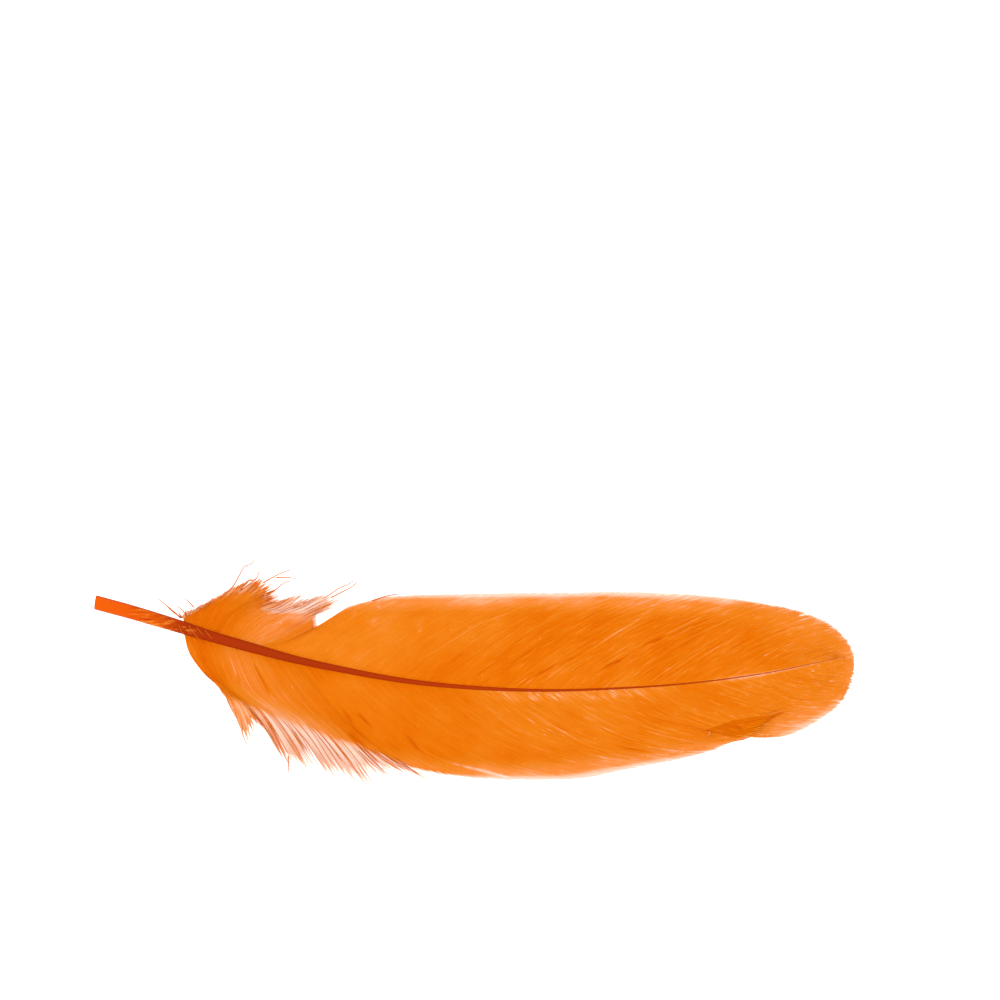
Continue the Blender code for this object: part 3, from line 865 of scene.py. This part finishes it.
def make_down(name, tufts, per_tuft, side, rng, material):
    """Barbs in tufts. Hands back their lines, where their hooks end and how pale they are there."""
    roots = np.linspace(tufts[0][0], tufts[-1][0], per_tuft * len(tufts))
    count = len(roots)
    columns = straight_columns(tufts, roots)
    body, thin = columns[:, 8:9], columns[:, 9:10]
    lines, gap, slope, opened, strand = down_lines(tufts, columns, roots, side, rng)
    # Pale marks, and painted shade in creases
    marks_and_crease_shade = part_at_marks(lines)
    t = np.broadcast_to(STEPS, (count, BARB_ROWS))
    hooked = 1 - ease(opened, opened + DOWN_UNHOOKING, t)
    gap = gap * np.sqrt(1 + slope**2)
    film = np.clip(FILM_OVERLAP * gap, *FILM_HALF) * (1 - NARROWER_FILM * ease(*FILM_TIP, t))
    closed = np.clip(OVERLAP * gap, *DOWN_HALF)
    half = closed * hooked + np.where(strand, STRAND_HALF, film) * (1 - hooked)
    half = half * (1 - NARROWER_DOWN * ease(*DOWN_TIP, t))
    inner = body - DOWN_FOOT_DENSER * (1 - ease(*DOWN_FOOT, t))
    past_hooks = np.clip((t - opened) / (1 - opened), 0, 1)
    outer = np.where(strand, STRAND_PALE + STRAND_PALER * thin * past_hooks, thin + FILM_PALER)
    outer = outer + rng.normal(0, DOWN_VARIES, (count, 1))
    before_end = PALER_BEFORE_END * ease(opened - BEFORE_END, opened, t) * hooked
    pale = inner * hooked + outer * (1 - hooked) + before_end + marks_and_crease_shade
    pale = pale + ticks(rng, count, t, *DOWN_PALE_TICKS)
    pale = pale - ticks(rng, count, t, *DOWN_DARK_TICKS)
    tone = rng.normal(0, DOWN_TONE, (count, 1))
    values = {"root": roots[:, None] * 2, "out": t, "tone": tone, "pale": pale, "streaky": DOWN_STREAKY}
    lay_tubes(name, lines, half, np.arctan(slope), BARB_SECTION, material, values)
    return lines, opened, thin


def make_hairs(name, lines, from_share, thin, length, per_barb, rng, material):
    """Fine hairs that stand off both sides of loose barbs."""
    count, rows, _ = lines.shape
    share = rng.uniform(0, HAIRS_UP_TO, (count, per_barb)) * (1 - from_share) + from_share
    steps = STEPS if rows == BARB_ROWS else np.linspace(0, 1, rows)
    low = np.clip(np.searchsorted(steps, share, side="right") - 1, 0, rows - 2)
    part = ((share - steps[low]) / (steps[low + 1] - steps[low]))[:, :, None]
    barb = np.arange(count)[:, None]
    foot = lines[barb, low] * (1 - part) + lines[barb, low + 1] * part
    ahead = lines[barb, low + 1] - lines[barb, low]
    ahead /= np.linalg.norm(ahead, axis=2, keepdims=True)
    side = np.where(rng.uniform(size=share.shape) < 0.5, -1.0, 1.0)
    turn = side * np.radians(rng.normal(HAIR_ANGLE_DEG, HAIR_ANGLE_SPREAD, share.shape))
    way = np.stack([
        ahead[:, :, 0] * np.cos(turn) - ahead[:, :, 1] * np.sin(turn),
        ahead[:, :, 0] * np.sin(turn) + ahead[:, :, 1] * np.cos(turn),
        ahead[:, :, 2] + rng.normal(0, HAIR_RISE, share.shape),
    ], axis=2)
    reach = length * rng.uniform(*HAIR_LENGTHS, share.shape) * (HAIR_TAPER_FROM - share) ** 0.5
    tip = foot + way * reach[:, :, None]
    tip[:, :, 2] = np.maximum(tip[:, :, 2], HAIR_LEAST_HEIGHT)
    loose = np.broadcast_to(np.asarray(from_share) < BARE_PAST, share.shape).ravel()
    thickest = foot * (1 - HAIR_THICKEST) + tip * HAIR_THICKEST
    hairs = np.stack([foot, thickest, tip], axis=2).reshape(-1, 3, 3)[loose]
    tone = rng.normal(0, 1, (len(hairs), 1))
    pale = np.broadcast_to(thin + HAIR_PALER, share.shape).reshape(-1, 1)[loose]
    values = {"root": tone, "out": 1.0, "tone": tone, "pale": pale, "streaky": 0.0}
    lay_tubes(name, hairs, HAIR_HALF, 0.0, HAIR_SECTION, material, values)


def make_wisps(name, rng, material):
    """The single loose barbs that were drawn one by one. Hands back those that have hairs."""
    t = np.linspace(0, 1, WISP_ROWS)
    lines = np.concatenate([threaded(np.array([path[1:]]), t) for path in WISPS])
    heights = np.array([path[0] for path in WISPS])[:, None] * (WISP_FOOT + (1 - WISP_FOOT) * t)
    lines = np.concatenate([lines, heights[:, :, None]], axis=2)
    over = np.concatenate([threaded(np.array([path]), t) for path in CROSSING])
    lines = np.concatenate([lines, over])
    crossing = np.arange(len(lines))[:, None] >= len(WISPS)
    pale = np.where(crossing, CROSSING_PALE, WISP_PALE)
    half = np.where(crossing, CROSSING_HALF, WISP_HALF) * (1 - WISP_TAPER * t)
    tone = rng.normal(0, 1, (len(lines), 1))
    values = {"root": tone, "out": 1.0, "tone": tone, "pale": pale, "streaky": 0.0}
    lay_tubes(name, lines, half, 0.0, HAIR_SECTION, material, values)
    return lines[: len(WISPS)]


def make_shaft(material):
    """The quill and shaft: one ring drawn out along the middle line, hollow at the cut end."""
    places = np.linspace(SHAFT_START, SHAFT_END, SHAFT_RINGS)
    middle, side, half = shaft_at(places)
    shape = bmesh.new()
    ring = bmesh.ops.create_circle(shape, segments=RING_CORNERS, radius=1.0)["verts"]
    last = Matrix.Identity(4)
    edges = list(shape.edges)
    first_edges = edges
    for k, place in enumerate(places):
        ahead = Vector(middle[min(k + 1, len(places) - 1)] - middle[max(k - 1, 0)]).normalized()
        across = Vector(side[k])
        up = ahead.cross(across) * -1
        turn = Matrix((across, up, ahead)).transposed().to_4x4()
        deep = half[k] * (1.0 - SHAFT_FLATTER * float(ease(*FLATTER_PLACES, place)))
        size = Matrix.Diagonal((half[k], max(deep, LEAST_DEEP), 1.0, 1.0))
        now = Matrix.Translation(Vector(middle[k])) @ turn @ size
        if k:
            grown = bmesh.ops.extrude_edge_only(shape, edges=edges)["geom"]
            edges = [e for e in grown if isinstance(e, bmesh.types.BMEdge)]
            ring = [v for v in grown if isinstance(v, bmesh.types.BMVert)]
        bmesh.ops.transform(shape, matrix=now @ last.inverted(), verts=ring)
        last = now
    bmesh.ops.edgeloop_fill(shape, edges=edges)
    cut = bmesh.ops.edgeloop_fill(shape, edges=first_edges)["faces"]
    bmesh.ops.recalc_face_normals(shape, faces=shape.faces)
    bmesh.ops.inset_individual(shape, faces=cut, thickness=QUILL_WALL)
    inward = Vector(middle[HOLLOW_RINGS] - middle[0])
    hollow = bmesh.ops.extrude_discrete_faces(shape, faces=cut)["faces"]
    bmesh.ops.translate(shape, vec=inward, verts=[v for f in hollow for v in f.verts])
    bmesh.ops.scale(shape, vec=(MM, MM, MM), verts=shape.verts)
    mesh = bpy.data.meshes.new("shaft")
    shape.to_mesh(mesh)
    shape.free()
    points = np.empty(len(mesh.vertices) * 3, np.float32)
    mesh.vertices.foreach_get("co", points)
    points = points.reshape(-1, 3) / MM
    middle, side, half = shaft_at(points[:, 0])
    across = np.sum((points - middle)[:, :2] * side[:, :2], axis=1) / half
    mesh.attributes.new("across", "FLOAT", "POINT").data.foreach_set("value", across.astype(np.float32))
    mesh.shade_smooth()
    mesh.set_sharp_from_angle(angle=math.radians(SHARP_DEG))
    place_piece("shaft", mesh, material)


def new_material(name):
    """An empty material, and its tree of nodes."""
    material = bpy.data.materials.new(name)
    material.use_nodes = True
    material.node_tree.nodes.clear()
    return material, material.node_tree


def node(tree, kind, **inputs):
    """A node with plain values on its sockets, named as they are, with _ for a space."""
    made = tree.nodes.new(kind)
    for key, value in inputs.items():
        made.inputs[key.replace("_", " ")].default_value = value
    return made


def reading(tree, name):
    """What a piece's own attribute says."""
    made = tree.nodes.new("ShaderNodeAttribute")
    made.attribute_name = name
    return made.outputs["Fac"]


def maths(tree, operation, *values, clamp=False):
    """One step of arithmetic on plain values and other nodes' outputs."""
    made = tree.nodes.new("ShaderNodeMath")
    made.operation = operation
    made.use_clamp = clamp
    for socket, value in zip(made.inputs, values):
        if isinstance(value, (int, float)):
            socket.default_value = value
        else:
            tree.links.new(value, socket)
    return made.outputs[0]


def noise(tree, vector, scale, detail, roughness):
    """A cloudy pattern between 0 and 1."""
    made = node(tree, "ShaderNodeTexNoise", Scale=scale, Detail=detail, Roughness=roughness)
    tree.links.new(vector, made.inputs["Vector"])
    return made.outputs["Fac"]


def ramp(tree, factor, stops):
    """Colours that follow each other as the factor grows."""
    made = tree.nodes.new("ShaderNodeValToRGB")
    colours = made.color_ramp
    while len(colours.elements) < len(stops):
        colours.elements.new(0.5)
    for element, (place, colour) in zip(colours.elements, stops):
        element.position = place
        element.color = (*colour, 1.0)
    tree.links.new(factor, made.inputs["Fac"])
    return made.outputs["Color"]


def band(tree, value, low, high):
    """0 at low and before it, 1 at high and past it, with a soft step between them."""
    made = node(tree, "ShaderNodeMapRange", From_Min=low, From_Max=high)
    made.interpolation_type = "SMOOTHSTEP"
    tree.links.new(value, made.inputs["Value"])
    return made.outputs["Result"]


def mixed(tree, factor, first, second):
    """One colour laid over another by a factor."""
    made = tree.nodes.new("ShaderNodeMix")
    made.data_type = "RGBA"
    tree.links.new(factor, made.inputs["Factor"])
    for socket, colour in ((made.inputs[6], first), (made.inputs[7], second)):
        if isinstance(colour, tuple):
            socket.default_value = (*colour, 1.0)
        else:
            tree.links.new(colour, socket)
    return made.outputs[2]


def roughened(tree, shader, height, strength, distance):
    """Gives a shader's surface the fine relief of a pattern."""
    bump = node(tree, "ShaderNodeBump", Strength=strength, Distance=distance)
    tree.links.new(height, bump.inputs["Height"])
    tree.links.new(bump.outputs["Normal"], shader.inputs["Normal"])


def finish_material(tree, surface):
    """Sends a surface to the material's output."""
    output = tree.nodes.new("ShaderNodeOutputMaterial")
    tree.links.new(surface, output.inputs["Surface"])


def lapped(tree, place):
    """1 where the two lobes lie over each other and their painted shade goes, and 0 elsewhere."""
    parts = tree.nodes.new("ShaderNodeSeparateXYZ")
    tree.links.new(place, parts.inputs["Vector"])
    inside = 1.0
    for start, end in zip(LAPPED, LAPPED[1:] + LAPPED[:1]):
        way = np.array(end) - np.array(start)
        way /= np.linalg.norm(way)
        offset = (start[0] * way[1] - start[1] * way[0]) * MM
        off_edge = maths(tree, "MULTIPLY_ADD", parts.outputs["X"], float(-way[1]), float(offset))
        off_edge = maths(tree, "MULTIPLY_ADD", parts.outputs["Y"], float(way[0]), off_edge)
        inside = maths(tree, "MULTIPLY", inside, band(tree, off_edge, *LAPPED_EDGE))
    return inside


def along_barbs(tree, repeats):
    """A place that runs from barb to barb and along each barb."""
    made = tree.nodes.new("ShaderNodeCombineXYZ")
    for name, repeat, socket in zip(("root", "out"), repeats, ("X", "Y")):
        tree.links.new(maths(tree, "MULTIPLY", reading(tree, name), repeat), made.inputs[socket])
    return made.outputs["Vector"]


def barb_material(name, through, streak, roughness):
    """Dyed barbs: the colour runs from dense dye to pale down by the attribute pale."""
    material, tree = new_material(name)
    place = tree.nodes.new("ShaderNodeTexCoord").outputs["Object"]
    streaks = noise(tree, along_barbs(tree, STREAK_REPEATS), scale=1.0, detail=3.0, roughness=0.65)
    mottle = noise(tree, place, MOTTLE_SCALE, detail=2.0, roughness=0.5)
    fine_lines = noise(tree, along_barbs(tree, LINE_REPEATS), scale=1.0, detail=1.0, roughness=0.5)
    specks = noise(tree, place, SPECK_SCALE, detail=1.0, roughness=0.5)
    tone = maths(tree, "MULTIPLY", reading(tree, "tone"), TONE_STRENGTH)
    shade = maths(tree, "ADD", reading(tree, "pale"), tone)
    for pattern, strength in ((streaks, streak), (mottle, MOTTLE_STRENGTH)):
        swing = maths(tree, "SUBTRACT", pattern, 0.5)
        shade = maths(tree, "ADD", shade, maths(tree, "MULTIPLY", swing, strength))
    for pattern, threshold, strength in (
        (fine_lines, LINES_OVER, reading(tree, "streaky")),
        (specks, SPECKS_OVER, SPECK_STRENGTH),
    ):
        over = maths(tree, "MAXIMUM", maths(tree, "SUBTRACT", pattern, threshold), 0.0)
        shade = maths(tree, "ADD", shade, maths(tree, "MULTIPLY", over, strength))
    # Painted shade: the colour is darker where the two lobes lie over each other
    lap_shade = maths(tree, "MULTIPLY", lapped(tree, place), LAPPED_SHADE)
    colour = ramp(tree, maths(tree, "ADD", shade, lap_shade, clamp=True), DYE_STOPS)
    shader = node(tree, "ShaderNodeBsdfPrincipled", Roughness=roughness, Specular_IOR_Level=BARB_SHINE)
    tree.links.new(colour, shader.inputs["Base Color"])
    grain = noise(tree, place, BARB_GRAIN_SCALE, detail=2.0, roughness=0.6)
    roughened(tree, shader, grain, *BARB_GRAIN)
    glow = tree.nodes.new("ShaderNodeBsdfTranslucent")
    tree.links.new(colour, glow.inputs["Color"])
    both = node(tree, "ShaderNodeMixShader", Fac=through)
    tree.links.new(shader.outputs["BSDF"], both.inputs[1])
    tree.links.new(glow.outputs["BSDF"], both.inputs[2])
    finish_material(tree, both.outputs["Shader"])
    return material


def shaft_material():
    """The dyed quill and shaft, with dried membranes that show through near the vane, and painted shade
    along the quill's upper edge.
    """
    material, tree = new_material("shaft_keratin")
    place = tree.nodes.new("ShaderNodeTexCoord").outputs["Object"]
    parts = tree.nodes.new("ShaderNodeSeparateXYZ")
    tree.links.new(place, parts.inputs["Vector"])
    x = parts.outputs["X"]
    start, end = SHAFT_SCALE_ENDS
    along = node(tree, "ShaderNodeMapRange", From_Min=start, From_Max=end)
    tree.links.new(x, along.inputs["Value"])
    colour = ramp(tree, along.outputs["Result"], SHAFT_STOPS)
    leaning = node(
        tree, "ShaderNodeMapping", Rotation=(0.0, 0.0, math.radians(FOLD_LEAN_DEG)), Scale=FOLD_STRETCH
    )
    tree.links.new(place, leaning.inputs["Vector"])
    folds = noise(tree, leaning.outputs["Vector"], scale=1.0, detail=3.0, roughness=0.6)
    from_cut, from_vane = [band(tree, x, low * MM, high * MM) for low, high in MEMBRANES]
    near_vane = maths(tree, "MULTIPLY", from_cut, from_vane)
    for limits, strength, fold_colour in (LIGHT_FOLDS, DARK_FOLDS):
        shown = maths(tree, "MULTIPLY", band(tree, folds, *limits), near_vane)
        colour = mixed(tree, maths(tree, "MULTIPLY", shown, strength), colour, fold_colour)
    # Painted shade: the quill's upper edge is darkened
    at_edge = band(tree, reading(tree, "across"), *EDGE_SHADE_ACROSS)
    on_quill = band(tree, x, *(place * MM for place in EDGE_SHADE_PLACES))
    edge = maths(tree, "MULTIPLY", at_edge, on_quill)
    colour = mixed(tree, maths(tree, "MULTIPLY", edge, EDGE_SHADE_STRENGTH), colour, EDGE_SHADE_COLOUR)
    shader = node(
        tree, "ShaderNodeBsdfPrincipled", Roughness=SHAFT_ROUGHNESS, Specular_IOR_Level=SHAFT_SHINE
    )
    tree.links.new(colour, shader.inputs["Base Color"])
    stretch = node(tree, "ShaderNodeMapping", Scale=SHAFT_GRAIN_STRETCH)
    tree.links.new(place, stretch.inputs["Vector"])
    grain = noise(tree, stretch.outputs["Vector"], scale=1.0, detail=3.0, roughness=0.6)
    roughened(tree, shader, grain, *SHAFT_GRAIN)
    finish_material(tree, shader.outputs["BSDF"])
    return material


def make_stage():
    """A plain white floor just under the feather."""
    floor_shape = bmesh.new()
    bmesh.ops.create_grid(floor_shape, x_segments=1, y_segments=1, size=FLOOR_HALF)
    bmesh.ops.translate(floor_shape, vec=(0, 0, -FLOOR_UNDER), verts=floor_shape.verts)
    mesh = bpy.data.meshes.new("floor")
    floor_shape.to_mesh(mesh)
    floor_shape.free()
    floor = bpy.data.objects.new("floor", mesh)
    bpy.context.scene.collection.objects.link(floor)
    paint = bpy.data.materials.new("floor_white")
    paint.use_nodes = True
    shader = paint.node_tree.nodes["Principled BSDF"]
    shader.inputs["Base Color"].default_value = (FLOOR_GREY, FLOOR_GREY, FLOOR_GREY, 1.0)
    shader.inputs["Roughness"].default_value = FLOOR_ROUGHNESS
    shader.inputs["Specular IOR Level"].default_value = 0.0
    shader.inputs["Emission Color"].default_value = (1.0, 1.0, 1.0, 1.0)
    shader.inputs["Emission Strength"].default_value = FLOOR_GLOW
    mesh.materials.append(paint)


def make_lights():
    """Soft round lamps that face the feather, in a white room."""
    for name, place, size, power in LAMPS:
        lamp = bpy.data.lights.new(name, "AREA")
        lamp.shape = "DISK"
        lamp.size = size
        lamp.energy = power
        lamp_object = bpy.data.objects.new(name, lamp)
        lamp_object.location = place
        lamp_object.rotation_euler = Vector(place).to_track_quat("Z", "Y").to_euler()
        bpy.context.scene.collection.objects.link(lamp_object)
    world = bpy.data.worlds.new("studio")
    world.use_nodes = True
    background = world.node_tree.nodes["Background"]
    background.inputs["Color"].default_value = (1.0, 1.0, 1.0, 1.0)
    background.inputs["Strength"].default_value = WORLD_STRENGTH
    bpy.context.scene.world = world
    bpy.context.scene.view_settings.view_transform = "Standard"


def make_camera():
    """A long lens straight above, which shows the same strip as the photograph."""
    view = bpy.data.cameras.new("camera")
    view.lens = LENS
    view.sensor_width = SENSOR
    view.clip_end = FAR_END
    camera = bpy.data.objects.new("camera", view)
    distance = VIEW_WIDTH * LENS / SENSOR
    camera.location = (VIEW_MIDDLE[0] * MM, VIEW_MIDDLE[1] * MM, (distance + FEATHER_HEIGHT) * MM)
    bpy.context.scene.collection.objects.link(camera)
    bpy.context.scene.camera = camera


def main():
    rng = np.random.default_rng(SEED)
    vane_dye = barb_material("vane_dye", through=0.25, streak=0.24, roughness=0.6)
    down_dye = barb_material("down_dye", through=0.35, streak=0.2, roughness=0.7)
    hair_dye = barb_material("hair_dye", through=0.2, streak=0.1, roughness=0.8)
    make_shaft(shaft_material())
    make_vane("upper_vane", UPPER_VANE, (UPPER_START, SHAFT_END), 1, rng, vane_dye)
    make_vane("lower_vane", LOWER_VANE, (LOWER_START, LOBE_START), -1, rng, vane_dye)
    make_vane("end_lobe", END_LOBE, (LOBE_START, SHAFT_END), -1, rng, vane_dye)
    for name, tufts, per_tuft, side, hairs in (
        ("upper_down", UPPER_DOWN, UPPER_PER_TUFT, 1, UPPER_HAIRS),
        ("lower_down", LOWER_DOWN, LOWER_PER_TUFT, -1, LOWER_HAIRS),
    ):
        lines, opened, thin = make_down(name, tufts, per_tuft, side, rng, down_dye)
        from_share = opened + PAST_HOOKS
        make_hairs(name + "_hairs", lines, from_share, thin, DOWN_HAIR, hairs, rng, hair_dye)
    lines = make_wisps("wisps", rng, down_dye)
    make_hairs(
        "wisp_hairs", lines, WISP_HAIRS_FROM, WISP_HAIR_PALE, WISP_HAIR, WISP_HAIRS, rng, hair_dye
    )
    make_stage()
    make_lights()
    make_camera()


main()
